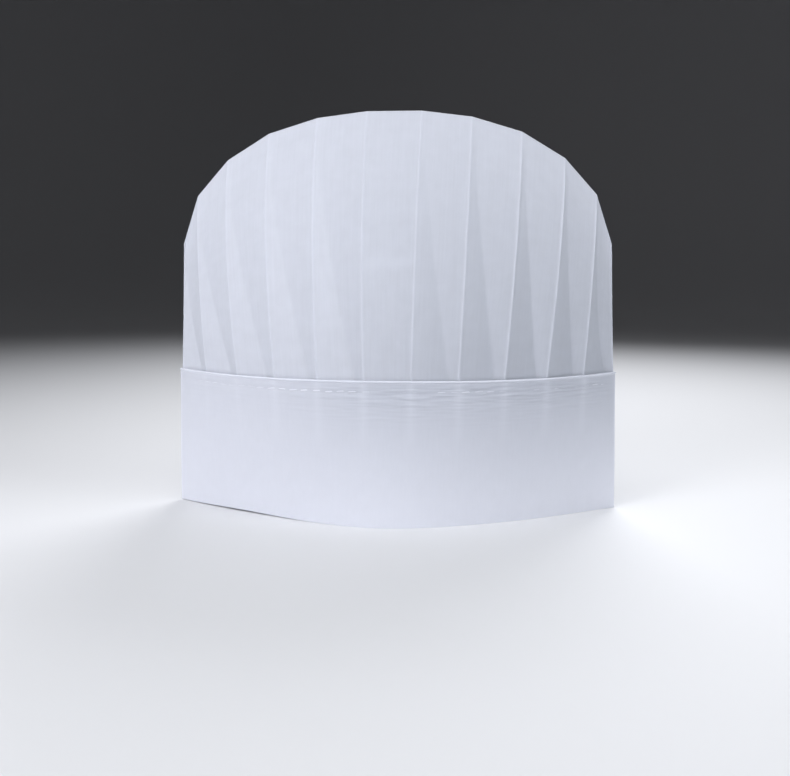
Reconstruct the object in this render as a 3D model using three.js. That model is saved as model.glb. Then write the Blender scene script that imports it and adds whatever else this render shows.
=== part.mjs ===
import * as THREE from 'three';

// A disposable chef hat of thin white non-woven cloth, in millimetres, +Z up.
// The origin is on the resting plane, under the middle of the hat.
// -Y is the front and +X is the wearer's left, the right side of a viewer who faces the front.
// It is two sheets: a headband, which is a closed strip standing on its lower edge, and a
// crown, which rises out of it in knife pleats and folds over a straight ridge at the top.

// Headband. From above it is a lens: two bowed halves that meet in a sharp fold at each side.
const BAND_HEIGHT = 84;
const BAND_WALL = 1;
// Each row gives the lens at one height. A bow power near 1 leaves a soft crease at the
// middle of the front and back, and a higher one rounds that crease away.
const BAND_PLAN = [
  { height: 0, halfWidth: 135.5, halfDepth: 58, bowPower: 1.5 },
  { height: 30, halfWidth: 135, halfDepth: 56.5, bowPower: 1.65 },
  { height: 60, halfWidth: 134.2, halfDepth: 54.5, bowPower: 2.05 },
  { height: 84, halfWidth: 133.8, halfDepth: 53, bowPower: 2.5 },
];
// How far the crease at the middle is rounded, as a share of the half width
const NOSE_SOFTNESS = 0.09;
// The upper edge is folded over, so it stands a little proud of the wall.
const BAND_ROWS = [
  { height: 0, proud: 0 },
  { height: 14, proud: 0 },
  { height: 28, proud: 0 },
  { height: 42, proud: 0 },
  { height: 56, proud: 0 },
  { height: 70, proud: 0 },
  { height: 82.2, proud: 0 },
  { height: 82.8, proud: 0.5 },
  { height: 84, proud: 0.5 },
];
// The strip is closed at the back, where one end laps over the other.
const LAP_WIDTH = 22;
const LAP_STEP = 0.8;
const LAP_EDGE_RUN = 0.25;
const LAP_EDGE_SHARE = 0.46;

// Crown. Eleven strips of equal width run from the front over the ridge to the back.
const STRIPS = 11;
const CROWN_WALL = 1;
const SKIRT_DEPTH = 35;
const SEAT_GAP = 0.3;
// One row for each fold from the middle of the ridge outwards, the same on both sides.
const RIDGE_FOLDS = [
  { across: 16.3, height: 238.6 },
  { across: 46, height: 234.8 },
  { across: 75.4, height: 225.8 },
  { across: 100.8, height: 210.4 },
  { across: 119.8, height: 189.2 },
  { across: 129.4, height: 160.3 },
];
// Between the band and the ridge the folds fan out, and the walls bow like an arch.
const FAN_POWER = 1.35;
const ARCH_POWER = 2;
const ARCH_ROUNDING = 0.92;
const CROWN_STEPS = [0, 0.08, 0.17, 0.27, 0.37, 0.47, 0.57, 0.67, 0.76, 0.84, 0.91, 0.965, 1];
const SKIRT_STEPS = 3;

// Each strip has a valley to the right of its sharp fold. It is widest and deepest at the
// band, where the cloth is gathered in, and runs out to nothing at the ridge.
const VALLEY_SHARE = 0.8;
const VALLEY_SHARE_POWER = 1.3;
const VALLEY_SHARE_LEAST = 0.12;
const VALLEY_SOFTNESS = 0.06;
const PLEAT_DEPTH = 3.5;
const PLEAT_DEPTH_POWER = 1.2;
const MIDDLE_PLEAT_FACTOR = 0.45;
const SIDE_PLEAT_FACTOR = 0.7;

// Working values
const CURVE_SAMPLES = 240;
const LONGEST_MITRE = 1.6;
const MOST_OF_HALF_FILLED = 0.7;
const COLUMNS_PER_STRIP = 4;
const FRONT = -1;
const BACK = 1;

const lerp = THREE.MathUtils.lerp;

function planSizes(height) {
  const upper = Math.max(1, BAND_PLAN.findIndex((row) => row.height >= height));
  const low = BAND_PLAN[upper - 1];
  const high = BAND_PLAN[upper];
  const share = (height - low.height) / (high.height - low.height);
  return {
    halfWidth: lerp(low.halfWidth, high.halfWidth, share),
    halfDepth: lerp(low.halfDepth, high.halfDepth, share),
    bowPower: lerp(low.bowPower, high.bowPower, share),
  };
}

// The front half of the lens at one height, as points evenly read by their share of its length
function planCurve(height) {
  const { halfWidth, halfDepth, bowPower } = planSizes(height);
  const bowAt = (across) => (across ** 2 + NOSE_SOFTNESS ** 2) ** (bowPower / 2);
  const points = [];
  for (let i = 0; i <= CURVE_SAMPLES; i += 1) {
    const across = Math.sin((i / CURVE_SAMPLES - 0.5) * Math.PI);
    const bow = (bowAt(1) - bowAt(across)) / (bowAt(1) - bowAt(0));
    points.push(new THREE.Vector2(across * halfWidth, -halfDepth * bow));
  }
  const lengths = [0];
  for (let i = 1; i < points.length; i += 1) {
    lengths.push(lengths[i - 1] + points[i].distanceTo(points[i - 1]));
  }
  return { points, lengths, girth: lengths[CURVE_SAMPLES] };
}

function curvePoint(curve, share) {
  const wanted = THREE.MathUtils.clamp(share, 0, 1) * curve.girth;
  const upper = Math.max(1, curve.lengths.findIndex((length) => length >= wanted - 1e-9));
  const span = curve.lengths[upper] - curve.lengths[upper - 1];
  const part = (wanted - curve.lengths[upper - 1]) / span;
  return curve.points[upper - 1].clone().lerp(curve.points[upper], part);
}

// A point on the front half of the lens, moved inwards by inset. At the side folds the move
// is along X only, so the front and back halves still meet there.
function planPoint(curve, share, inset) {
  const reach = 0.004;
  const before = curvePoint(curve, share - reach);
  const after = curvePoint(curve, share + reach);
  const along = after.sub(before).normalize();
  const inward = new THREE.Vector2(-along.y, along.x);
  const point = curvePoint(curve, share);
  if (share === 0 || share === 1) {
    const mitre = Math.min(LONGEST_MITRE, 1 / Math.abs(inward.x));
    return new THREE.Vector2(point.x + Math.sign(inward.x) * inset * mitre, 0);
  }
  return point.addScaledVector(inward, inset);
}

// A tube of cloth. The grid is asked for every column and row on the front and on the back;
// the two share their side columns, and their top row too where the tube is closed there.
// Each cell is split along the diagonal that leans outwards from the middle.
function makeTube(columns, rows, closedTop, outerPoint) {
  const vertices = [];
  const names = new Map();
  const index = (side, column, row) => {
    const shared = column === 0 || column === columns || (closedTop && row === rows);
    const name = `${shared ? FRONT : side} ${column} ${row}`;
    if (!names.has(name)) {
      names.set(name, vertices.length);
      const place = outerPoint(side, column, row);
      vertices.push({ place, side: shared ? 0 : side, column, row });
    }
    return names.get(name);
  };
  const faces = [];
  for (const side of [FRONT, BACK]) {
    for (let column = 0; column < columns; column += 1) {
      for (let row = 0; row < rows; row += 1) {
        const a = index(side, column, row);
        const b = index(side, column + 1, row);
        const c = index(side, column + 1, row + 1);
        const d = index(side, column, row + 1);
        const pair = column < columns / 2 ? [[a, b, d], [b, c, d]] : [[a, b, c], [a, c, d]];
        faces.push(...(side === FRONT ? pair : pair.map(([p, q, r]) => [p, r, q])));
      }
    }
  }
  const rim = (row) => {
    const loop = [];
    for (let column = 0; column < columns; column += 1) {
      loop.push(index(FRONT, column, row));
    }
    for (let column = columns; column > 0; column -= 1) {
      loop.push(index(BACK, column, row));
    }
    return loop;
  };
  return { vertices, faces, lowerRim: rim(0), upperRim: closedTop ? [] : rim(rows) };
}

// Each vertex's direction into the wall, lengthened at folds so that the wall keeps its
// thickness there
function inwardSteps({ vertices, faces }) {
  const sums = vertices.map(() => new THREE.Vector3());
  const normals = faces.map((face) => {
    const [a, b, c] = face.map((i) => vertices[i].place);
    const normal = b.clone().sub(a).cross(c.clone().sub(a));
    face.forEach((i) => sums[i].add(normal));
    return normal.clone().normalize();
  });
  sums.forEach((sum) => sum.normalize());
  const leans = vertices.map(() => ({ total: 0, count: 0 }));
  faces.forEach((face, f) => {
    face.forEach((i) => {
      leans[i].total += sums[i].dot(normals[f]);
      leans[i].count += 1;
    });
  });
  return sums.map((sum, i) => {
    const lean = Math.max(1 / LONGEST_MITRE, leans[i].total / leans[i].count);
    return sum.multiplyScalar(-1 / lean);
  });
}

// The inner skin of a tube whose wall follows its folds. The rims stay level. Near the ridge
// the sides close on each other, so the wall thins there and never fills the hollow.
function offsetSkin(tube, wall) {
  const steps = inwardSteps(tube);
  const rim = new Set([...tube.lowerRim, ...tube.upperRim]);
  return tube.vertices.map((vertex, i) => {
    const step = steps[i].multiplyScalar(wall);
    if (rim.has(i)) {
      step.z = 0;
    }
    if (vertex.side === 0) {
      step.y = 0;
      return vertex.place.clone().add(step);
    }
    const room = Math.abs(vertex.place.y) * MOST_OF_HALF_FILLED;
    const thinning = Math.min(1, room / Math.max(room, Math.abs(step.y)));
    return vertex.place.clone().addScaledVector(step, thinning);
  });
}

// Closes a tube with its inner skin and a strip round each open rim
function closeWall(tube, innerSkin) {
  const outer = tube.vertices.map((vertex) => vertex.place);
  const count = outer.length;
  const triangles = [...tube.faces];
  tube.faces.forEach(([a, b, c]) => triangles.push([a + count, c + count, b + count]));
  const bridge = (loop, facesDown) => {
    loop.forEach((a, i) => {
      const b = loop[(i + 1) % loop.length];
      const pair = facesDown
        ? [[b, a, a + count], [b, a + count, b + count]]
        : [[a, b, b + count], [a, b + count, a + count]];
      triangles.push(...pair);
    });
  };
  bridge(tube.lowerRim, true);
  bridge(tube.upperRim, false);
  const geometry = new THREE.BufferGeometry();
  const positions = [...outer, ...innerSkin].flatMap((point) => point.toArray());
  geometry.setAttribute('position', new THREE.Float32BufferAttribute(positions, 3));
  geometry.setIndex(triangles.flat());
  geometry.computeVertexNormals();
  return geometry;
}

// Headband

function lapRise(side, share, girth) {
  if (side !== BACK) {
    return 0;
  }
  const past = (share - LAP_EDGE_SHARE) * girth;
  const covered = past >= 0 && past <= LAP_WIDTH;
  return covered ? LAP_STEP * (1 - past / LAP_WIDTH) : 0;
}

function makeHeadband() {
  const curves = BAND_ROWS.map((row) => planCurve(row.height));
  const girth = curves[0].girth;
  const even = STRIPS * COLUMNS_PER_STRIP;
  const shares = [];
  for (let i = 0; i <= even; i += 1) {
    shares.push(i / even);
  }
  const lapEdges = [
    LAP_EDGE_SHARE - LAP_EDGE_RUN / girth,
    LAP_EDGE_SHARE,
    LAP_EDGE_SHARE + LAP_WIDTH / girth,
  ];
  shares.push(...lapEdges);
  shares.sort((a, b) => a - b);
  const skinPoint = (side, column, row, inset) => {
    const { height, proud } = BAND_ROWS[row];
    const place = planPoint(curves[row], shares[column], inset - proud);
    return new THREE.Vector3(place.x, -side * place.y, height);
  };
  const outerPoint = (side, column, row) => {
    return skinPoint(side, column, row, -lapRise(side, shares[column], girth));
  };
  const tube = makeTube(shares.length - 1, BAND_ROWS.length - 1, false, outerPoint);
  const innerSkin = tube.vertices.map(({ side, column, row }) => {
    return skinPoint(side, column, row, BAND_WALL);
  });
  return closeWall(tube, innerSkin);
}

// Crown

// The end of one fold on the ridge, counted from the wearer's right side to the left
function ridgePoint(fold) {
  const half = (STRIPS + 1) / 2;
  const onLeft = fold < half;
  const row = RIDGE_FOLDS[onLeft ? half - 1 - fold : fold - half];
  return new THREE.Vector3(onLeft ? -row.across : row.across, 0, row.height);
}

// One sharp fold on the front half. Rise is 0 at the band's upper edge and 1 at the ridge,
// and below 0 the fold runs down the inside of the band.
function foldPoint(fold, rise) {
  const inset = BAND_WALL + SEAT_GAP;
  if (rise < 0) {
    const height = BAND_HEIGHT + rise * SKIRT_DEPTH;
    const place = planPoint(planCurve(height), fold / STRIPS, inset);
    return new THREE.Vector3(place.x, place.y, height);
  }
  const foot = planPoint(planCurve(BAND_HEIGHT), fold / STRIPS, inset);
  const top = ridgePoint(fold);
  const fan = 1 - (1 - rise) ** FAN_POWER;
  const arch = (1 - rise ** ARCH_POWER) ** ARCH_ROUNDING;
  return new THREE.Vector3(lerp(foot.x, top.x, fan), foot.y * arch, lerp(BAND_HEIGHT, top.z, rise));
}

function pleatFactor(strip) {
  const fromMiddle = Math.abs(strip - (STRIPS - 1) / 2);
  if (fromMiddle === 0) {
    return MIDDLE_PLEAT_FACTOR;
  }
  return fromMiddle === (STRIPS - 1) / 2 ? SIDE_PLEAT_FACTOR : 1;
}

// A strip's valley at one rise: where it lies across the strip, and how far in it reaches
function valley(strip, rise) {
  const gathered = 1 - Math.max(0, rise);
  const share = Math.max(VALLEY_SHARE_LEAST, VALLEY_SHARE * gathered ** VALLEY_SHARE_POWER);
  return { share, depth: PLEAT_DEPTH * pleatFactor(strip) * gathered ** PLEAT_DEPTH_POWER };
}

function makeCrown() {
  const rises = [];
  for (let i = 0; i < SKIRT_STEPS; i += 1) {
    rises.push(i / SKIRT_STEPS - 1);
  }
  rises.push(...CROWN_STEPS);
  const folds = rises.map((rise) => {
    const row = [];
    for (let fold = 0; fold <= STRIPS; fold += 1) {
      row.push(foldPoint(fold, rise));
    }
    return row;
  });
  const columns = STRIPS * COLUMNS_PER_STRIP;
  const lastRow = rises.length - 1;
  const outerPoint = (side, column, row) => {
    const strip = Math.min(STRIPS - 1, Math.floor(column / COLUMNS_PER_STRIP));
    const step = column - strip * COLUMNS_PER_STRIP;
    const from = folds[row][strip];
    const to = folds[row][strip + 1];
    const { share, depth } = valley(strip, rises[row]);
    const along = to.clone().sub(from);
    const below = folds[Math.max(0, row - 1)][strip];
    const above = folds[Math.min(lastRow, row + 1)][strip];
    const inward = above.clone().sub(below).cross(along).normalize();
    const shares = [0, share - VALLEY_SOFTNESS, share, share + VALLEY_SOFTNESS, 1];
    const softened = 1 - VALLEY_SOFTNESS / share;
    const depths = [0, softened, 1, softened, 0];
    const point = from.clone().addScaledVector(along, shares[step]);
    point.addScaledVector(inward, depth * depths[step]);
    return new THREE.Vector3(point.x, -side * point.y, point.z);
  };
  const tube = makeTube(columns, lastRow, true, outerPoint);
  return closeWall(tube, offsetSkin(tube, CROWN_WALL));
}

// Assembly

function makePiece(name, geometry, material) {
  const piece = new THREE.Mesh(geometry, material);
  piece.name = name;
  return piece;
}

const crownCloth = new THREE.MeshStandardMaterial({
  color: 0xe6e9f0,
  roughness: 0.85,
  metalness: 0,
  flatShading: true,
});
const bandCloth = new THREE.MeshStandardMaterial({
  color: 0xe9ecf3,
  roughness: 0.8,
  metalness: 0,
  flatShading: true,
});

const hat = new THREE.Group();
hat.add(makePiece('headband', makeHeadband(), bandCloth));
hat.add(makePiece('crown', makeCrown(), crownCloth));

export default hat;
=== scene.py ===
import math

import bpy
import numpy as np
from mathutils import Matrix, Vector, noise


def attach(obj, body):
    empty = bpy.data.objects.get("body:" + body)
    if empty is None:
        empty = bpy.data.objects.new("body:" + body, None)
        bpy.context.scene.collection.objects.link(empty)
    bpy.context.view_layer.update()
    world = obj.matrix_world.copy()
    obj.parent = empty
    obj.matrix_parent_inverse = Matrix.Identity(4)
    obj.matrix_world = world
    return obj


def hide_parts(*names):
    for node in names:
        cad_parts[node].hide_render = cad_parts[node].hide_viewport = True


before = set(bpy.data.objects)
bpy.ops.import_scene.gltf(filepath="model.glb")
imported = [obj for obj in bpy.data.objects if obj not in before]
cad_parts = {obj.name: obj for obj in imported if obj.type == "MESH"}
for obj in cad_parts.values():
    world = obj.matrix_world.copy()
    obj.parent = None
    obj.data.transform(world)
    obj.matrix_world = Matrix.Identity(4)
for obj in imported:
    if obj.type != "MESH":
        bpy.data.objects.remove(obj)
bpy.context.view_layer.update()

# A disposable chef hat of thin white non-woven cloth, in metres, +Z up, -Y to the front.
# The headband is a strip of doubled cloth, and the crown is one pleated sheet that rises
# out of it, folds over a ridge and goes down into it at the back.

MM = 0.001

# Headband. Each row gives the lens that the band makes from above, at one height.
BAND_HEIGHT = 84 * MM
BAND_PLAN = {
    "height": np.array([0, 30, 60, 84]) * MM,
    "half_width": np.array([135.5, 135, 134.2, 133.8]) * MM,
    "half_depth": np.array([58, 56.5, 54.5, 53]) * MM,
    "bow_power": np.array([1.5, 1.65, 2.05, 2.5]),
}
NOSE_SOFTNESS = 0.09
PLAN_SAMPLES = 480
TANGENT_REACH = 0.004
CORNER_INSET_FACTOR = 1.35
BAND_CLOTH = 0.55 * MM
SIDE_FOLD_HOLD = 16 * MM
LOOSENESS = {"height": 0.8 * MM, "size": 60 * MM, "room": 50 * MM, "seed": 31}
EDGE_LIFT = {"x": -92 * MM, "half_length": 34 * MM, "height": 1.0 * MM, "fades_by": 45 * MM}

# The band's folded upper edge, whose bead turns from outside to inside
FOLD_RADIUS = 0.66 * MM
BEAD_PROUD = 0.4 * MM
BEAD_TURNS = np.linspace(-0.45 * math.pi, 0.62 * math.pi, 11)
COVERED_BEAD_PART = 0.4

# The lap where the strip's two ends meet at the back
LAP_WIDTH = 22 * MM
LAP_RISE = 0.7 * MM
LAP_RUN = 14 * MM
LAP_EDGE_SHARE = 0.46

# Rows and columns of the band's mesh, closest together where it bends most
HEM_ROWS = np.array([0, 0.25, 0.6, 1.2, 2.4]) * MM
LOWER_ROWS = np.linspace(4, 56, 14) * MM
UPPER_ROWS = np.linspace(56, 81.8, 64)[1:] * MM
BAND_COLUMNS = 341
FINE_COLUMNS = np.array([0, 0.25, 0.6, 1.2]) * MM
CORNER_CLEARING = 1.5 * MM

# Stitches that hold the crown in the band, and how they pull at the strip
STITCH_DROP = 6.4 * MM
STITCH_PITCH = 7.2 * MM
STITCH_LENGTH = 5.2 * MM
STITCH_WIDTH = 0.8 * MM
STITCH_RISE = 0.28 * MM
STITCH_SLANT = 0.5 * MM
# How much the stitches stand out, by place; this sets their height and also their painted
# highlight
STITCH_SHOWING = {
    "share": np.array([0, 0.22, 0.27, 0.4, 0.46, 0.56, 0.62, 1]),
    "part": np.array([0.1, 0.1, 0.9, 0.9, 0.25, 0.25, 0.45, 0.45]),
}
STRAY_ALONG = 0.25 * MM
STRAY_UP = 0.12 * MM
SLANT_MEAN_AND_SPREAD = (0.8, 0.25)
LENGTH_RANGE = (0.86, 1.06)
SHOWING_RANGE = (0.75, 1.1)
CORNER_ROOM = 0.75
THREAD_STEPS = 9
THREAD_SIDES = 8
THREAD_END = 0.02
OUTWARD_STEP = 1 * MM
SEAM_DENT = 0.22 * MM
SEAM_DENT_WIDTH = 1.6 * MM
# The seam's pull by place, which also scales the band's painted shade
PULL_LEAST = 0.4
PULL_SHARES = (0.22, 0.55)
WRINKLE_HEIGHT = 0.5 * MM
WRINKLE_FROM = 2 * MM
WRINKLE_RUN = 3 * MM
WRINKLE_REACH = 16 * MM
WRINKLE_LEAST = 0.01
WRINKLE_STRETCH = (0.24, 2.8)
WRINKLE_NOISE = [
    {"size": 2.6 * MM, "part": 1.0, "seed": 21},
    {"size": 5.2 * MM, "part": 0.8, "seed": 23},
]

# Painted light on the band: painted highlights along its folded edge and side folds, painted
# light streaks where the crown's folds lie behind it, and painted shade towards its upper edge
STREAK_REACH = 38 * MM
STREAK_LIGHT = 0.24
STREAK_WIDTH = 2.4 * MM
STREAK_FADE_POWER = 0.6
BEAD_HIGHLIGHT = 0.6
SIDE_FOLD_HIGHLIGHT = 0.6
SIDE_FOLD_HIGHLIGHT_WIDTH = 0.9 * MM
BAND_SHADE_FROM = 8 * MM
BAND_SHADE_TO = 76 * MM
BAND_SHADE_POWER = 1.25

# Crown: its fold lines. The skirt is the part below the band's upper edge.
STRIPS = 11
MIDDLE_STRIP = (STRIPS - 1) / 2
CROWN_CLOTH = 0.35 * MM
SEAT_GAP = 0.45 * MM
SEAT = BAND_CLOTH + SEAT_GAP
SKIRT_DEPTH = 35 * MM
SKIRT_DRAW_IN = 1.1 * MM
SKIRT_DRAW_SHARE = 0.5
RIDGE_FOLDS = {
    "across": np.array([16.3, 46, 75.4, 100.8, 119.8, 129.4]) * MM,
    "height": np.array([238.4, 234.7, 225.8, 210.4, 189.2, 160.3]) * MM,
}
FAN_POWER = 1.35
ARCH_POWER = 2.0
ARCH_ROUNDING = 0.92
CLOTH_PER_STRIP = 1.13

# Crown: the valley that each strip makes between its two folds
VALLEY_SHARE = 0.78
VALLEY_SHARE_POWER = 1.3
VALLEY_SHARE_LEAST = 0.12
VALLEY_SOFTNESS = 0.09
FOLD_FLATNESS = 12
FAR_SIDE_POWER = 1.7
PLEAT_DEPTH = 2.9 * MM
PLEAT_DEPTH_POWER = 1.2
MIDDLE_PLEAT_FACTOR = 0.45
INNER_PLEAT_FACTOR = 0.5
SIDE_PLEAT_FACTOR = 0.8
LEFT_PLEAT_FACTOR = 0.6
RIGHT_PLEAT_FACTOR = 0.95
EDGE_PRESS = 0.5
EDGE_PRESS_REACH = 0.05
SEAM_PRESS = 0.8

# Crown: the pressed folds. The lip and groove fade out under the ridge and in the skirt.
CREASE_FOLDS = (1, 4)
LEFT_CREASE_FACTOR = 0.45
CREASE_LIP = 0.32 * MM
CREASE_WIDTH = 0.55 * MM
CREASE_GROOVE = 0.16 * MM
CREASE_GROOVE_AT = 1.5 * MM
CREASE_GROOVE_WIDTH = 0.6 * MM
RIDGE_FADE_END = 0.985
RIDGE_FADE = 14
SKIRT_FADE = 12
# Painted highlight along each pressed fold
CREASE_HIGHLIGHT = 0.5
CREASE_HIGHLIGHT_WIDTH = 0.6 * MM

# What each point of the crown's grid holds, by column
PLACE = slice(0, 3)
CLOTH_PLACE = slice(3, 6)
HIGHLIGHT_COLUMN = 6
SHADE_COLUMN = 7

# Rows and columns of the crown's mesh
SKIRT_ROWS = 13
BODY_ROWS = 61
TOP_ROWS = 17
TOP_ROWS_FROM = 0.9
TOP_ROWS_POWER = 1.5
FOLD_COLUMNS = np.array([0, 0.0125, 0.032, 0.064])
VALLEY_COLUMNS = np.array([-0.05, -0.02, 0, 0.02, 0.05])
NEAR_COLUMNS = 4
FAR_COLUMNS = 7

# Painted shade on the crown: darker towards +X and less so near the ridge, and darker beside
# each strip's valley
CROWN_SHADE = 0.6
CROWN_SHADE_SHARES = (0.32, 0.7)
CROWN_SHADE_TOP_LOSS = 0.8
VALLEY_SIDE_SHADE = 0.22
VALLEY_SIDE_SHADE_POWER = 0.6
VALLEY_SIDE_SHADE_BEFORE = 0.05
VALLEY_SIDE_SHADE_RUN = 0.12
MIDDLE_STRIP_SHADE = 0.1
FOLD_SIDE_PART = 0.35

# Handling: slow and fine unevenness, and a faint level crease from packing
CROWN_WAVES = [
    {"stretch": 0.6, "size": 45 * MM, "seed": 3, "height": 0.9 * MM},
    {"stretch": 0.5, "size": 14 * MM, "seed": 5, "height": 0.22 * MM},
]
WAVES_SIDE_FADE = 14
WAVES_RIDGE_FADE = 5
WAVES_EDGE_FADE = 6
WAVES_EDGE_FROM = 0.02
PACKING_MARK = {
    "x": 0 * MM,
    "z": 149.5 * MM,
    "slope": 0.02,
    "half_length": 16 * MM,
    "width": 3.6 * MM,
    "rise": 0.4 * MM,
    # tone: a painted highlight along the crease
    "tone": 0.2,
}
NOISE_SHIFT = (7.31, 3.17, 1.93)
RNG_SEED = 11

# Looks of the cloth, with the lighter colour that its painted highlights blend towards
CROWN_LOOK = {
    "colour": (0.765, 0.785, 0.853),
    "highlight_colour": (0.85, 0.875, 0.955),
    "stretch": (850, 26, 1),
    "contrast": 0.085,
    "translucency": 0.3,
}
BAND_LOOK = {
    "colour": (0.805, 0.82, 0.895),
    "highlight_colour": (0.88, 0.90, 0.98),
    "stretch": (600, 80, 1),
    "contrast": 0.04,
    "translucency": 0.18,
}
STITCH_LOOK = {
    "colour": (0.805, 0.82, 0.895),
    "highlight_colour": (0.86, 0.875, 0.955),
    "stretch": (2500, 2500, 2500),
    "contrast": 0.03,
    "translucency": 0.1,
}
# Colour that the painted shade multiplies the cloth's colour towards
PAINTED_SHADE_COLOUR = (0.72, 0.735, 0.755, 1)
CLOTH_COAT = {"Roughness": 0.85, "Sheen Weight": 0.15, "Specular IOR Level": 0.25}
FIBRE_NOISE = {"Scale": 1.0, "Detail": 5.0, "Roughness": 0.65}
CLOUD_NOISE = {"Scale": 110.0, "Detail": 3.0}
FIBRE_PART = 0.55
CLOUD_PART = 0.45
FIBRE_BUMP = {"Strength": 0.35, "Distance": 0.12 * MM}

# Camera, fitted to the photograph's frame of 790 by 776 pixels
PHOTO_WIDTH = 790
PHOTO_FOCAL_PIXELS = 1000
SENSOR_WIDTH_MM = 36
CAMERA_DISTANCE = 609.5 * MM
CAMERA_HEIGHT = 158.4 * MM
CAMERA_TURN = math.radians(4.4)
CAMERA_DIP = math.radians(8.01)
CAMERA_SIDESTEP = 0.4 * MM

# Stage: a round floor that is level to FLOOR_FLAT, then sweeps up into a wall
FLOOR_FIRST_RING = 0.5
FLOOR_FLAT = 1.4
FLOOR_SWEEP = 0.9
FLOOR_SWEEP_STEPS = 17
FLOOR_SEGMENTS = 144
WALL_HEIGHT = 3.5
FLOOR_ROUGHNESS = 0.7
# Painted light on the floor: pale near the middle and painted shade far out
FLOOR_LIT = (0.74, 0.745, 0.76, 1)
FLOOR_SHADED = (0.28, 0.28, 0.29, 1)
FLOOR_LIT_TO = 0.4
FLOOR_SHADED_FROM = 1.9
ROOM_COLOUR = (0.035, 0.035, 0.037, 1)

# Lights: name, place, target, size, power, colour and spread
HAT_MIDDLE = (0, 0, 0.12)
FLOOR_FRONT = (0, -0.35, 0)
COOL = (0.96, 0.97, 1)
COOLER = (0.95, 0.98, 1)
OPEN_SPREAD = math.pi
SIDE_SPREAD = math.radians(90)
BACK_SPREAD = math.radians(120)
LIGHTS = [
    ("key", (-0.08, -1.15, 0.95), HAT_MIDDLE, (1.2, 0.9), 3.0, COOL, OPEN_SPREAD),
    ("left_fill", (-0.58, -0.66, 0.42), HAT_MIDDLE, (0.5, 0.5), 1.52, COOL, SIDE_SPREAD),
    ("right_fill", (0.95, -0.35, 0.42), HAT_MIDDLE, (0.5, 0.5), 1.1, COOLER, SIDE_SPREAD),
    ("top", (-0.05, -0.4, 1.2), FLOOR_FRONT, (0.9, 0.7), 6.4, COOL, OPEN_SPREAD),
    ("back", (0.25, 0.95, 0.8), HAT_MIDDLE, (0.9, 0.7), 6, COOL, BACK_SPREAD),
]


# Small helpers

def smooth_step(values):
    part = np.clip(values, 0, 1)
    return part * part * (3 - 2 * part)


def clamp(value):
    return min(1.0, max(0.0, value))


def bump(distance, width):
    """A rounded hump: 1 at no distance, near 0 past about twice the width."""
    return np.exp(-(distance / width) ** 2)


def wave(points, scale, seed):
    """Smooth noise from -1 to 1 at each point; scale is the size of its blotches."""
    shift = Vector([seed * part for part in NOISE_SHIFT])
    return np.array([noise.noise(Vector(p) / scale + shift) for p in points])


# Plan of the headband

def plan_sizes(height):
    return [np.interp(height, BAND_PLAN["height"], BAND_PLAN[key])
            for key in ("half_width", "half_depth", "bow_power")]


def plan_curve(height):
    """The front half of the lens at one height: points and lengths along it."""
    half_width, half_depth, bow_power = plan_sizes(height)
    across = np.sin(np.linspace(-0.5, 0.5, PLAN_SAMPLES + 1) * math.pi)
    soft = NOSE_SOFTNESS ** 2
    bow = (across ** 2 + soft) ** (bow_power / 2) - soft ** (bow_power / 2)
    bow /= (1 + soft) ** (bow_power / 2) - soft ** (bow_power / 2)
    points = np.stack([across * half_width, -half_depth * (1 - bow)], 1)
    steps = np.linalg.norm(np.diff(points, axis=0), axis=1)
    return points, np.concatenate([[0], np.cumsum(steps)])


def plan_points(shares, height, inset):
    """Points on the front half of the lens at one height, moved inwards by inset."""
    points, lengths = plan_curve(height)

    def at(share):
        wanted = np.clip(share, 0, 1) * lengths[-1]
        return np.stack([np.interp(wanted, lengths, points[:, i]) for i in (0, 1)], -1)

    along = at(shares + TANGENT_REACH) - at(shares - TANGENT_REACH)
    along /= np.linalg.norm(along, axis=-1, keepdims=True)
    inward = np.stack([-along[..., 1], along[..., 0]], -1)
    inset = np.broadcast_to(inset, np.shape(shares))[..., None]
    moved = at(shares) + inward * inset
    ends = (shares <= 0) | (shares >= 1)
    corner = at(shares).copy()
    corner[..., 0] += np.sign(inward[..., 0]) * inset[..., 0] * CORNER_INSET_FACTOR
    corner[..., 1] = 0
    return np.where(ends[..., None], corner, moved)


def half_girth():
    return plan_curve(0)[1][-1]


# Mesh helpers

def grid_faces(numbers, flip=False):
    """Four-sided faces between the rows and columns of a grid of vertex numbers."""
    a, b, c, d = numbers[:-1, :-1], numbers[:-1, 1:], numbers[1:, 1:], numbers[1:, :-1]
    order = (a, d, c, b) if flip else (a, b, c, d)
    return np.stack(order, -1).reshape(-1, 4).tolist()


def make_mesh(name, vertices, faces, attributes):
    mesh = bpy.data.meshes.new(name)
    mesh.from_pydata(vertices.tolist(), [], faces)
    mesh.validate()
    for key, values in attributes.items():
        kind = "FLOAT_VECTOR" if values.ndim == 2 else "FLOAT"
        field = "vector" if values.ndim == 2 else "value"
        attribute = mesh.attributes.new(key, kind, "POINT")
        attribute.data.foreach_set(field, values.astype(np.float32).ravel())
    mesh.shade_smooth()
    piece = bpy.data.objects.new(name, mesh)
    bpy.context.scene.collection.objects.link(piece)
    return piece


def give_thickness(piece, thickness):
    solid = piece.modifiers.new("cloth_thickness", "SOLIDIFY")
    solid.thickness = thickness
    solid.offset = -1
    solid.use_even_offset = False
    solid.use_rim = True


# Crown

def strip_factor(strip):
    """How deep a strip's valley is: the gathers are uneven from one side to the other."""
    if strip == MIDDLE_STRIP:
        return MIDDLE_PLEAT_FACTOR
    if strip == MIDDLE_STRIP + 1:
        return INNER_PLEAT_FACTOR
    end = SIDE_PLEAT_FACTOR if strip in (0, STRIPS - 1) else 1.0
    return end * (LEFT_PLEAT_FACTOR if strip < MIDDLE_STRIP else RIGHT_PLEAT_FACTOR)


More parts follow.
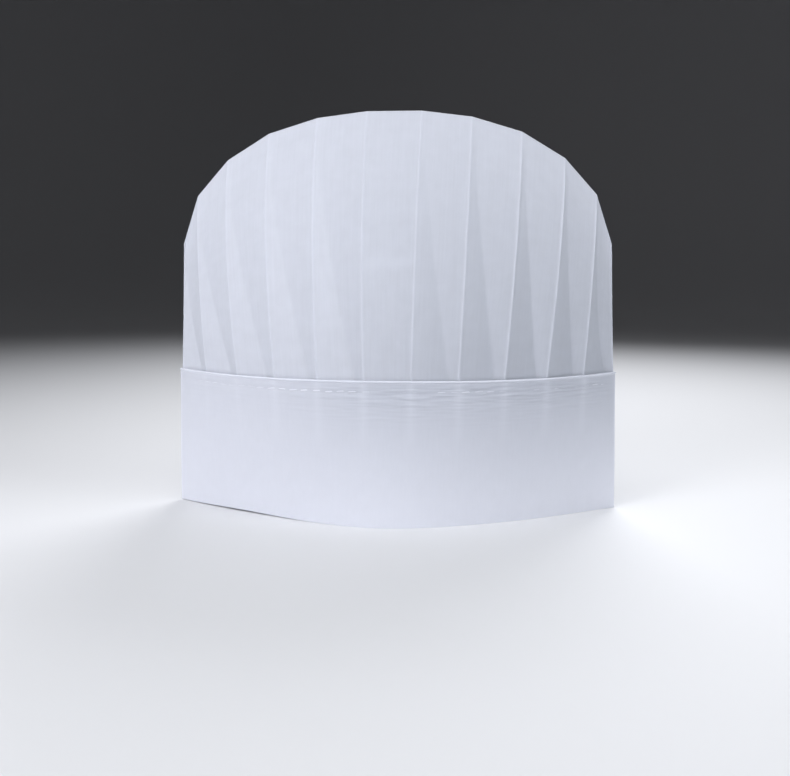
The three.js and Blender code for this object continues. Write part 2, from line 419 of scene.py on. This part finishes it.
def crease_strength(fold):
    """How sharply a fold is pressed, softer towards one side."""
    first, last = CREASE_FOLDS
    part = smooth_step((fold - first) / (last - first))
    return LEFT_CREASE_FACTOR + (1 - LEFT_CREASE_FACTOR) * part


def ridge_ends():
    across, height = RIDGE_FOLDS["across"], RIDGE_FOLDS["height"]
    x = np.concatenate([-across[::-1], across])
    z = np.concatenate([height[::-1], height])
    return np.stack([x, np.zeros_like(x), z], 1)


def fold_lines(rises):
    """Every sharp fold of the front half at each rise: 0 is the band's edge, 1 the ridge."""
    shares = np.arange(STRIPS + 1) / STRIPS
    foot = plan_points(shares, BAND_HEIGHT, SEAT)
    top = ridge_ends()
    rows = []
    for rise in rises:
        if rise < 0:
            height = BAND_HEIGHT + rise * SKIRT_DEPTH
            drawn_in = SKIRT_DRAW_IN * min(1.0, -rise / SKIRT_DRAW_SHARE)
            place = plan_points(shares, height, SEAT + drawn_in)
            rows.append(np.column_stack([place, np.full(STRIPS + 1, height)]))
            continue
        fan = 1 - (1 - rise) ** FAN_POWER
        arch = (1 - rise ** ARCH_POWER) ** ARCH_ROUNDING
        x = foot[:, 0] + (top[:, 0] - foot[:, 0]) * fan
        z = BAND_HEIGHT + (top[:, 2] - BAND_HEIGHT) * rise
        rows.append(np.stack([x, foot[:, 1] * arch, z], 1))
    return np.array(rows)


def valley_place(rise):
    """Where across a strip its valley lies, closer to its left fold the higher it is."""
    gathered = 1 - max(0.0, rise)
    return max(VALLEY_SHARE_LEAST, VALLEY_SHARE * gathered ** VALLEY_SHARE_POWER)


def valley_profile(fractions, valley):
    """How far in a strip lies, from 0 at its folds to about 1 in the softened valley."""
    near = fractions / valley
    far = np.clip((1 - fractions) / (1 - valley), 0, None)
    far = np.where(far < 1, far ** FAR_SIDE_POWER, 1 + (far - 1) * FAR_SIDE_POWER)
    soft = VALLEY_SOFTNESS
    height = 0.5 * (near + far - np.sqrt((near - far) ** 2 + soft ** 2)) + 0.25 * soft
    return np.clip(height, 0, None) * np.minimum(1, np.minimum(near, far * 2) * FOLD_FLATNESS)


def pleat_depth(strip, rise):
    """The depth of a strip's valley, less at the band's edge and least at the seam."""
    gathered = 1 - max(0.0, rise)
    depth = PLEAT_DEPTH * strip_factor(strip) * gathered ** PLEAT_DEPTH_POWER
    depth *= 1 - EDGE_PRESS * (1 - clamp(rise / EDGE_PRESS_REACH))
    return depth * (1 - SEAM_PRESS * clamp(-rise * SKIRT_DEPTH / STITCH_DROP))


def strip_fractions(valley):
    """Where a strip's columns lie across it, closest together at its folds and its valley."""
    near_valley = valley + VALLEY_COLUMNS
    first = np.linspace(FOLD_COLUMNS[-1], near_valley[0], NEAR_COLUMNS)[1:-1]
    second = np.linspace(near_valley[-1], 1 - FOLD_COLUMNS[-1], FAR_COLUMNS)[1:-1]
    return np.concatenate([FOLD_COLUMNS, first, near_valley, second, 1 - FOLD_COLUMNS[::-1]])


def painted_crown_shade(strip, fractions, valley, rise):
    """Painted shade on the crown: darker towards +X and less so near the ridge, darker on one
    side of each strip's valley and less so higher up, and a little all across the middle strip.
    """
    start, end = CROWN_SHADE_SHARES
    share = (strip + fractions) / STRIPS
    broad = CROWN_SHADE * smooth_step((share - start) / (end - start))
    broad *= 1 - CROWN_SHADE_TOP_LOSS * max(0.0, rise) ** 2
    gathered = (1 - max(0.0, rise)) ** VALLEY_SIDE_SHADE_POWER
    if strip == MIDDLE_STRIP:
        return broad + MIDDLE_STRIP_SHADE * gathered
    past_valley = smooth_step((fractions - valley + VALLEY_SIDE_SHADE_BEFORE) / VALLEY_SIDE_SHADE_RUN)
    shaded_part = past_valley if strip < MIDDLE_STRIP else 1 - past_valley
    if strip > MIDDLE_STRIP:
        shaded_part *= FOLD_SIDE_PART + (1 - FOLD_SIDE_PART) * np.clip(fractions / valley, 0, 1)
    return broad + VALLEY_SIDE_SHADE * shaded_part * gathered


def crown_rises():
    skirt = np.linspace(-1, 0, SKIRT_ROWS)[:-1]
    body = np.linspace(0, TOP_ROWS_FROM, BODY_ROWS)
    left = (1 - np.linspace(0, 1, TOP_ROWS)[1:]) ** TOP_ROWS_POWER
    return np.concatenate([skirt, body, 1 - left * (1 - TOP_ROWS_FROM)])


def strip_row(strip, rise, start, end, climb):
    """One row of one strip: its points, fractions, painted highlight near its folds and painted
    shade.
    """
    valley = valley_place(rise)
    fractions = strip_fractions(valley)
    chord = end - start
    width = np.linalg.norm(chord)
    inward = np.cross(climb, chord)
    inward /= np.linalg.norm(inward)
    reach = np.minimum(fractions, 1 - fractions) * width
    pressed = np.where(fractions < 0.5, crease_strength(strip), crease_strength(strip + 1))
    lip = CREASE_LIP * pressed * bump(reach, CREASE_WIDTH)
    groove = bump((1 - fractions) * width - CREASE_GROOVE_AT, CREASE_GROOVE_WIDTH)
    groove *= CREASE_GROOVE * crease_strength(strip + 1)
    fade = clamp((RIDGE_FADE_END - rise) * RIDGE_FADE) * clamp(1 + rise * SKIRT_FADE)
    shift = pleat_depth(strip, rise) * valley_profile(fractions, valley)
    shift += (groove - lip) * fade
    points = start + chord * fractions[:, None] + inward * shift[:, None]
    # Painted highlight along the pressed folds
    fold_highlight = CREASE_HIGHLIGHT * pressed * bump(reach, CREASE_HIGHLIGHT_WIDTH)
    return points, fractions, fold_highlight, painted_crown_shade(strip, fractions, valley, rise)


def crown_half(side):
    """One half in rows. Each point has its place, cloth place, painted fold highlight and
    painted shade.
    """
    rises = crown_rises()
    folds = fold_lines(rises)
    strip_width = half_girth() / STRIPS * CLOTH_PER_STRIP
    lengths = np.linalg.norm(np.diff(folds[:, STRIPS // 2], axis=0), axis=1)
    down = np.concatenate([[0], np.cumsum(lengths)])
    down = (down - down[-1]) * -side
    rows = []
    for row, rise in enumerate(rises):
        low, high = max(0, row - 1), min(len(rises) - 1, row + 1)
        line = []
        for strip in range(STRIPS):
            climb = folds[high, strip] - folds[low, strip]
            points, fractions, fold_highlight, painted_shade = strip_row(
                strip, rise, folds[row, strip], folds[row, strip + 1], climb)
            across = (strip + fractions) * strip_width
            level = np.full_like(across, down[row])
            sheet = np.full_like(across, side * 0.5)
            whole = np.column_stack([points, across, level, sheet, fold_highlight, painted_shade])
            line.append(whole if strip == STRIPS - 1 else whole[:-1])
        rows.append(np.concatenate(line))
    half = np.array(rows)
    half[:, [0, -1], 1] = 0
    half[..., 1] *= -side
    roughen(half, rises, side)
    return half


def packing_mark(x, z):
    """A faint level crease across the middle of the front, 1 along its line."""
    off = x - PACKING_MARK["x"]
    reach = np.exp(-(off / PACKING_MARK["half_length"]) ** 4)
    line = PACKING_MARK["z"] + PACKING_MARK["slope"] * off
    return reach * bump(z - line, PACKING_MARK["width"])


def roughen(half, rises, side):
    """Small unevenness of handled cloth, none at the side folds and the ridge."""
    rows, columns, _ = half.shape
    flat = half[..., PLACE].reshape(-1, 3)
    push = np.zeros(rows * columns)
    for waves in CROWN_WAVES:
        stretched = flat * [1, 1, waves["stretch"]]
        push += wave(stretched, waves["size"], waves["seed"] + side) * waves["height"]
    across = np.linspace(0, 1, columns)
    hold_sides = np.clip(np.minimum(across, 1 - across) * WAVES_SIDE_FADE, 0, 1)
    rise = rises[:, None]
    hold_ridge = np.clip((1 - rise) * WAVES_RIDGE_FADE, 0, 1)
    hold_edge = np.clip((rise + WAVES_EDGE_FROM) * WAVES_EDGE_FADE, 0, 1)
    half[..., 1] += side * push.reshape(rows, columns) * hold_sides * hold_ridge * hold_edge
    if side < 0:
        mark = packing_mark(half[..., 0], half[..., 2])
        half[..., 1] -= PACKING_MARK["rise"] * mark
        # Painted highlight along the packing crease
        half[..., HIGHLIGHT_COLUMN] = np.maximum(half[..., HIGHLIGHT_COLUMN], PACKING_MARK["tone"] * mark)


def make_crown():
    """Both halves as one sheet, which share the points of the side folds and the ridge."""
    front, back = crown_half(-1), crown_half(1)
    apart = np.ones(front.shape[:2], bool)
    apart[:, [0, -1]] = False
    apart[-1] = False
    front_numbers = np.arange(apart.size).reshape(apart.shape)
    back_numbers = front_numbers.copy()
    back_numbers[apart] = apart.size + np.arange(apart.sum())
    table = np.concatenate([front.reshape(apart.size, -1), back[apart]])
    faces = grid_faces(front_numbers) + grid_faces(back_numbers, flip=True)
    crown = make_mesh("crown_cloth", table[:, PLACE], faces, {
        "cloth_m": table[:, CLOTH_PLACE],
        # Painted highlight near the folds and painted shade, as attributes for the material
        "fold": table[:, HIGHLIGHT_COLUMN],
        "painted_shade": table[:, SHADE_COLUMN],
    })
    give_thickness(crown, CROWN_CLOTH)
    return crown


# Headband

def lap_start():
    """Where the strip's outer end lies, by the distance along the loop."""
    girth = half_girth()
    return 2 * girth - LAP_EDGE_SHARE * girth


def lap_offset(past):
    """How far the strip stands out, by the distance from its outer end."""
    return LAP_RISE * np.clip(1 - (past - LAP_WIDTH) / LAP_RUN, 0, 1)


def loop_point(along, height, outset):
    """A point on the whole lens, by the distance along it from the wearer's right side fold."""
    girth = half_girth()
    along = np.mod(along, 2 * girth)
    front = along <= girth
    share = np.where(front, along / girth, 2 - along / girth)
    place = plan_points(share, height, -outset)
    return np.column_stack([place[:, 0], np.where(front, place[:, 1], -place[:, 1])])


def band_columns(start, total):
    """Places along the strip, closest together at its two ends and at the side folds."""
    girth = half_girth()
    places = list(np.linspace(0, total, BAND_COLUMNS))
    places += list(FINE_COLUMNS) + list(total - FINE_COLUMNS)
    for corner in (0, girth):
        middle = (corner - start) % (2 * girth)
        places = [p for p in places if abs(p - middle) > CORNER_CLEARING]
        places += list(middle + FINE_COLUMNS) + list(middle - FINE_COLUMNS[1:])
    return np.unique(np.round(places, 7))


def painted_band_shade(heights):
    """Painted shade on the band, darker towards its upper edge: 0 near the lower edge, rising to
    1 high up.
    """
    part = np.clip((heights - BAND_SHADE_FROM) / (BAND_SHADE_TO - BAND_SHADE_FROM), 0, 1)
    return part ** BAND_SHADE_POWER


def painted_fold_streaks(along, heights):
    """Painted light: how strongly the band is lighter in streaks over the crown's folds inside
    it, fading downwards from its upper edge.
    """
    girth = half_girth()
    along = np.mod(along, 2 * girth)
    share = np.minimum(along, 2 * girth - along) / girth * STRIPS
    off = np.abs(share - np.round(share)) * girth / STRIPS
    drop = BAND_HEIGHT - heights
    fade = np.clip(1 - drop / STREAK_REACH, 0, 1) ** STREAK_FADE_POWER
    strength = STREAK_LIGHT * crease_strength(np.round(share))
    return strength * bump(off, STREAK_WIDTH) * fade


def seam_dent(drop):
    return SEAM_DENT * bump(drop - STITCH_DROP, SEAM_DENT_WIDTH)


def seam_pull_and_shade(share):
    """How tightly the seam holds the strip to the crown: least at the wearer's right. It also
    scales the painted shade of the band and its stitches, which is least at the wearer's right.
    """
    start, end = PULL_SHARES
    part = (np.minimum(share, 2 - share) - start) / (end - start)
    return PULL_LEAST + (1 - PULL_LEAST) * smooth_step(part)


def wrinkles(past, share, drop):
    """Fine creases that run along the strip under the stitches."""
    strength = clamp((drop - WRINKLE_FROM) / WRINKLE_RUN) * bump(drop, WRINKLE_REACH)
    if strength < WRINKLE_LEAST:
        return np.zeros_like(past)
    length, width = WRINKLE_STRETCH
    places = np.column_stack([past * length, np.full_like(past, drop * width), past * 0])
    fine = sum(kind["part"] * wave(places, kind["size"], kind["seed"]) for kind in WRINKLE_NOISE)
    return fine * WRINKLE_HEIGHT * strength * seam_pull_and_shade(share) ** 2


def looseness(past, height):
    """The strip's slow waves, less near its upper edge and none there."""
    places = np.column_stack([past, np.full_like(past, height), past * 0])
    room = clamp((BAND_HEIGHT - height) / LOOSENESS["room"])
    return wave(places, LOOSENESS["size"], LOOSENESS["seed"]) * LOOSENESS["height"] * room


def lower_edge_lift(place, height):
    """A short stretch of the lower edge, left of the front, is off the floor."""
    lift = EDGE_LIFT["height"] * bump(place[:, 0] - EDGE_LIFT["x"], EDGE_LIFT["half_length"])
    return np.where(place[:, 1] < 0, lift, 0) * max(0.0, 1 - height / EDGE_LIFT["fades_by"])


def wall_rows(heights, along, past, rises, to_fold):
    """The strip's rows from its lower edge up to the start of its folded edge."""
    girth = half_girth()
    share = np.mod(along, 2 * girth) / girth
    freedom = np.clip(to_fold / SIDE_FOLD_HOLD, 0, 1)
    rows = []
    for height in heights:
        drop = BAND_HEIGHT - height
        loose = (wrinkles(past, share, drop) + looseness(past, height)) * freedom
        place = loop_point(along, height, rises - seam_dent(drop) * freedom + loose)
        rows.append(np.column_stack([place, height + lower_edge_lift(place, height)]))
    return rows


def bead_rows(heights, along, past, rises):
    """The rows of the folded upper edge, flatter where the strip's outer end covers it."""
    open_part = np.clip((past - LAP_WIDTH) / LAP_RUN, 0, 1)
    turned_part = COVERED_BEAD_PART + (1 - COVERED_BEAD_PART) * open_part
    rows = []
    for height, turn in zip(heights, BEAD_TURNS):
        inwards = FOLD_RADIUS * (1 - math.cos(turn)) * turned_part
        place = loop_point(along, height, rises + BEAD_PROUD * open_part - inwards)
        rows.append(np.column_stack([place, np.full(len(past), height)]))
    return rows


def make_band():
    girth = half_girth()
    total = 2 * girth + LAP_WIDTH
    start = lap_start() - total
    past = band_columns(start, total)
    along = start + past
    rises = lap_offset(total - past)
    to_fold = np.mod(along, girth)
    to_fold = np.minimum(to_fold, girth - to_fold)
    wall_heights = np.concatenate([HEM_ROWS, LOWER_ROWS, UPPER_ROWS])
    bead_heights = BAND_HEIGHT - FOLD_RADIUS + np.sin(BEAD_TURNS) * FOLD_RADIUS
    grid = np.array(wall_rows(wall_heights, along, past, rises, to_fold)
                    + bead_rows(bead_heights, along, past, rises))
    levels = np.concatenate([wall_heights, bead_heights])[:, None]
    cloth = np.stack(np.broadcast_arrays(past, levels, 0.0), -1)
    # Painted highlights on the folded upper edge and the side folds, and painted light streaks
    # over the crown's folds
    bead_highlight = np.repeat([0, BEAD_HIGHLIGHT], [len(wall_heights), len(bead_heights)])[:, None]
    pressed = SIDE_FOLD_HIGHLIGHT * bump(to_fold, SIDE_FOLD_HIGHLIGHT_WIDTH)
    pale = np.maximum(np.maximum(bead_highlight, painted_fold_streaks(along, grid[..., 2])), pressed)
    share = np.mod(along, 2 * girth) / girth
    numbers = np.arange(grid[..., 0].size).reshape(grid.shape[:2])
    band = make_mesh("headband_cloth", grid.reshape(-1, 3), grid_faces(numbers), {
        "cloth_m": cloth.reshape(-1, 3),
        "fold": pale.ravel(),
        # Painted shade, darker towards the upper edge and towards the wearer's left
        "painted_shade": (painted_band_shade(grid[..., 2]) * seam_pull_and_shade(share)).ravel(),
    })
    give_thickness(band, BAND_CLOTH)
    return band


# Stitches

def thread_points(middle, height, length, slant, rise):
    """Rings of points around one dash of thread, from one end to the other."""
    t = np.linspace(-1, 1, THREAD_STEPS)
    along = middle + t * length / 2
    past = np.mod(lap_start() - along, 2 * half_girth())
    over = lap_offset(past) - seam_dent(STITCH_DROP)
    base = loop_point(along, height, over)
    outward = (loop_point(along, height, over + OUTWARD_STEP) - base) / OUTWARD_STEP
    body = np.sqrt(np.clip(1 - t ** 4, THREAD_END, 1))[:, None]
    turns = 2 * math.pi * np.arange(THREAD_SIDES) / THREAD_SIDES
    out = rise * body * np.cos(turns)
    up = STITCH_WIDTH / 2 * body * np.sin(turns)
    place = base[:, None] + outward[:, None] * out[..., None]
    z = (height + t * slant / 2)[:, None] + up
    return np.concatenate([place, z[..., None]], -1).reshape(-1, 3)


def thread_faces(first):
    numbers = first + np.arange(THREAD_STEPS * THREAD_SIDES).reshape(THREAD_STEPS, THREAD_SIDES)
    sides = grid_faces(np.column_stack([numbers, numbers[:, 0]]))
    return sides + [numbers[0, ::-1].tolist(), numbers[-1].tolist()]


def make_stitches():
    """Short thread dashes around the band, under its upper edge, as one mesh."""
    girth = half_girth()
    count = int(round(2 * girth / STITCH_PITCH))
    pitch = 2 * girth / count
    draw = np.random.default_rng(RNG_SEED)
    points_each = THREAD_STEPS * THREAD_SIDES
    threads, faces, stitch_highlight, painted_shade = [], [], [], []
    for k in range(count):
        middle = k * pitch + draw.normal(0, STRAY_ALONG)
        to_corner = min(middle % girth, girth - middle % girth)
        if to_corner < STITCH_LENGTH * CORNER_ROOM:
            continue
        height = BAND_HEIGHT - STITCH_DROP + draw.normal(0, STRAY_UP)
        slant = STITCH_SLANT * draw.normal(*SLANT_MEAN_AND_SPREAD)
        length = STITCH_LENGTH * draw.uniform(*LENGTH_RANGE)
        share = min(middle / girth, 2 - middle / girth)
        showing = np.interp(share, STITCH_SHOWING["share"], STITCH_SHOWING["part"])
        showing *= draw.uniform(*SHOWING_RANGE)
        faces += thread_faces(len(threads) * points_each)
        threads.append(thread_points(middle, height, length, slant, STITCH_RISE * showing))
        # Painted highlight, stronger where a stitch stands out more, and painted shade as on the
        # band
        stitch_highlight.append(showing)
        painted_shade.append(painted_band_shade(height) * seam_pull_and_shade(share))
    vertices = np.concatenate(threads)
    return make_mesh("band_stitches", vertices, faces, {
        "cloth_m": vertices,
        "fold": np.repeat(stitch_highlight, points_each),
        "painted_shade": np.repeat(painted_shade, points_each),
    })


# Materials

def new_material(name):
    material = bpy.data.materials.new(name)
    material.use_nodes = True
    tree = material.node_tree
    tree.nodes.clear()
    return material, tree


def add_node(tree, kind, values=None, **settings):
    """A new node with its settings, and with plain values on its own sockets."""
    node = tree.nodes.new(kind)
    for key, setting in settings.items():
        setattr(node, key, setting)
    for socket, value in (values or {}).items():
        node.inputs[socket].default_value = value
    return node


def cloth_grain(tree, stretch):
    """Combed fibres, and fibres and soft blotches together."""
    link = tree.links.new
    place = add_node(tree, "ShaderNodeAttribute", attribute_name="cloth_m")
    stretched = add_node(tree, "ShaderNodeMapping", {"Scale": stretch})
    fibres = add_node(tree, "ShaderNodeTexNoise", FIBRE_NOISE)
    clouds = add_node(tree, "ShaderNodeTexNoise", CLOUD_NOISE)
    cloud_part = add_node(tree, "ShaderNodeMath", {1: CLOUD_PART}, operation="MULTIPLY")
    both = add_node(tree, "ShaderNodeMath", {1: FIBRE_PART}, operation="MULTIPLY_ADD")
    link(place.outputs["Vector"], stretched.inputs["Vector"])
    link(stretched.outputs[0], fibres.inputs["Vector"])
    link(place.outputs["Vector"], clouds.inputs["Vector"])
    link(clouds.outputs["Fac"], cloud_part.inputs[0])
    link(fibres.outputs["Fac"], both.inputs[0])
    link(cloud_part.outputs[0], both.inputs[2])
    return fibres.outputs["Fac"], both.outputs[0]


def cloth_material(name, look):
    """Thin non-woven cloth that light comes through, with painted highlights and painted shade
    from the mesh's attributes mixed into its colour.
    """
    material, tree = new_material(name)
    link = tree.links.new
    output = add_node(tree, "ShaderNodeOutputMaterial")
    coat = add_node(tree, "ShaderNodeBsdfPrincipled", CLOTH_COAT)
    through = add_node(tree, "ShaderNodeBsdfTranslucent")
    mix = add_node(tree, "ShaderNodeMixShader", {"Fac": look["translucency"]})
    link(coat.outputs[0], mix.inputs[1])
    link(through.outputs[0], mix.inputs[2])
    link(mix.outputs[0], output.inputs["Surface"])

    contrast = look["contrast"]
    tone = add_node(tree, "ShaderNodeMix", data_type="RGBA")
    tone.inputs["A"].default_value = (*[c * (1 - contrast) for c in look["colour"]], 1)
    tone.inputs["B"].default_value = (*[min(1, c * (1 + contrast)) for c in look["colour"]], 1)
    # Painted shade: the colour is multiplied towards a greyer colour by the shade attribute
    painted_shade = add_node(tree, "ShaderNodeAttribute", attribute_name="painted_shade")
    shade_multiply = add_node(tree, "ShaderNodeMix", data_type="RGBA", blend_type="MULTIPLY")
    shade_multiply.inputs["B"].default_value = PAINTED_SHADE_COLOUR
    # Painted highlights: the colour is blended towards the lighter highlight colour by the fold
    # attribute
    fold = add_node(tree, "ShaderNodeAttribute", attribute_name="fold")
    highlight_mix = add_node(tree, "ShaderNodeMix", data_type="RGBA")
    highlight_mix.inputs["B"].default_value = (*look["highlight_colour"], 1)
    fibres, grain = cloth_grain(tree, look["stretch"])
    link(grain, tone.inputs["Factor"])
    link(painted_shade.outputs["Fac"], shade_multiply.inputs["Factor"])
    link(tone.outputs["Result"], shade_multiply.inputs["A"])
    link(fold.outputs["Fac"], highlight_mix.inputs["Factor"])
    link(shade_multiply.outputs["Result"], highlight_mix.inputs["A"])
    link(highlight_mix.outputs["Result"], coat.inputs["Base Color"])
    link(highlight_mix.outputs["Result"], through.inputs["Color"])

    relief = add_node(tree, "ShaderNodeBump", FIBRE_BUMP)
    link(fibres, relief.inputs["Height"])
    link(relief.outputs[0], coat.inputs["Normal"])
    link(relief.outputs[0], through.inputs["Normal"])
    return material


def floor_material():
    """Painted light: pale under the hat and painted shade far from it, by the distance from the
    middle.
    """
    material, tree = new_material("floor_paint")
    link = tree.links.new
    output = add_node(tree, "ShaderNodeOutputMaterial")
    paint = add_node(tree, "ShaderNodeBsdfPrincipled", {"Roughness": FLOOR_ROUGHNESS})
    place = add_node(tree, "ShaderNodeTexCoord")
    level = add_node(tree, "ShaderNodeVectorMath", {1: (1, 1, 0)}, operation="MULTIPLY")
    away = add_node(tree, "ShaderNodeVectorMath", operation="LENGTH")
    far = add_node(tree, "ShaderNodeMapRange", interpolation_type="SMOOTHSTEP")
    far.inputs["From Min"].default_value = FLOOR_LIT_TO
    far.inputs["From Max"].default_value = FLOOR_SHADED_FROM
    tone = add_node(tree, "ShaderNodeMix", data_type="RGBA")
    tone.inputs["A"].default_value = FLOOR_LIT
    tone.inputs["B"].default_value = FLOOR_SHADED
    link(place.outputs["Object"], level.inputs[0])
    link(level.outputs["Vector"], away.inputs[0])
    link(away.outputs["Value"], far.inputs["Value"])
    link(far.outputs[0], tone.inputs["Factor"])
    link(tone.outputs["Result"], paint.inputs["Base Color"])
    link(paint.outputs[0], output.inputs["Surface"])
    return material


# Stage

def make_floor():
    """A round pale floor that sweeps up into a plain wall all around."""
    profile = [(FLOOR_FIRST_RING, 0.0), (FLOOR_FLAT, 0.0)]
    for turn in np.linspace(0, math.pi / 2, FLOOR_SWEEP_STEPS)[1:]:
        out = FLOOR_FLAT + FLOOR_SWEEP * math.sin(turn)
        profile.append((out, FLOOR_SWEEP * (1 - math.cos(turn))))
    profile.append((FLOOR_FLAT + FLOOR_SWEEP, WALL_HEIGHT))
    turns = np.arange(FLOOR_SEGMENTS) / FLOOR_SEGMENTS * 2 * math.pi
    vertices = [(0, 0, 0)]
    for out, height in profile:
        vertices += [(out * math.cos(t), out * math.sin(t), height) for t in turns]
    rings = 1 + np.arange(len(vertices) - 1).reshape(len(profile), FLOOR_SEGMENTS)
    rings = np.column_stack([rings, rings[:, 0]])
    faces = [(0, int(a), int(b)) for a, b in zip(rings[0, :-1], rings[0, 1:])]
    faces += grid_faces(rings, flip=True)
    floor = make_mesh("floor", np.array(vertices), faces, {})
    floor.data.materials.append(floor_material())


def area_light(name, place, target, size, power, colour, spread):
    lamp = bpy.data.lights.new(name, "AREA")
    lamp.shape = "RECTANGLE"
    lamp.size, lamp.size_y = size
    lamp.energy = power
    lamp.color = colour
    lamp.spread = spread
    holder = bpy.data.objects.new(name, lamp)
    bpy.context.scene.collection.objects.link(holder)
    holder.location = place
    aim = (Vector(target) - Vector(place)).normalized()
    holder.rotation_mode = "QUATERNION"
    holder.rotation_quaternion = aim.to_track_quat("-Z", "Y")


def make_room():
    world = bpy.data.worlds.new("room")
    world.use_nodes = True
    background = world.node_tree.nodes["Background"]
    background.inputs["Color"].default_value = ROOM_COLOUR
    background.inputs["Strength"].default_value = 1.0
    bpy.context.scene.world = world


def make_camera():
    lens = bpy.data.cameras.new("camera")
    lens.sensor_width = SENSOR_WIDTH_MM
    lens.lens = SENSOR_WIDTH_MM * PHOTO_FOCAL_PIXELS / PHOTO_WIDTH
    camera = bpy.data.objects.new("camera", lens)
    bpy.context.scene.collection.objects.link(camera)
    right = Vector((math.cos(CAMERA_TURN), math.sin(CAMERA_TURN), 0))
    back = Vector((math.sin(CAMERA_TURN), -math.cos(CAMERA_TURN), 0))
    camera.location = back * CAMERA_DISTANCE + right * CAMERA_SIDESTEP
    camera.location.z = CAMERA_HEIGHT
    ahead = -back * math.cos(CAMERA_DIP) + Vector((0, 0, -math.sin(CAMERA_DIP)))
    camera.rotation_mode = "QUATERNION"
    camera.rotation_quaternion = ahead.to_track_quat("-Z", "Y")
    bpy.context.scene.camera = camera


# Assembly

bpy.context.scene.view_settings.view_transform = "Standard"
make_camera()
for light in LIGHTS:
    area_light(*light)
make_room()
make_floor()

crown = make_crown()
crown.data.materials.append(cloth_material("crown_nonwoven", CROWN_LOOK))
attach(crown, "root")
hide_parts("crown")

band = make_band()
band.data.materials.append(cloth_material("band_nonwoven", BAND_LOOK))
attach(band, "root")
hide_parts("headband")

stitches = make_stitches()
stitches.data.materials.append(cloth_material("stitch_thread", STITCH_LOOK))
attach(stitches, "root")
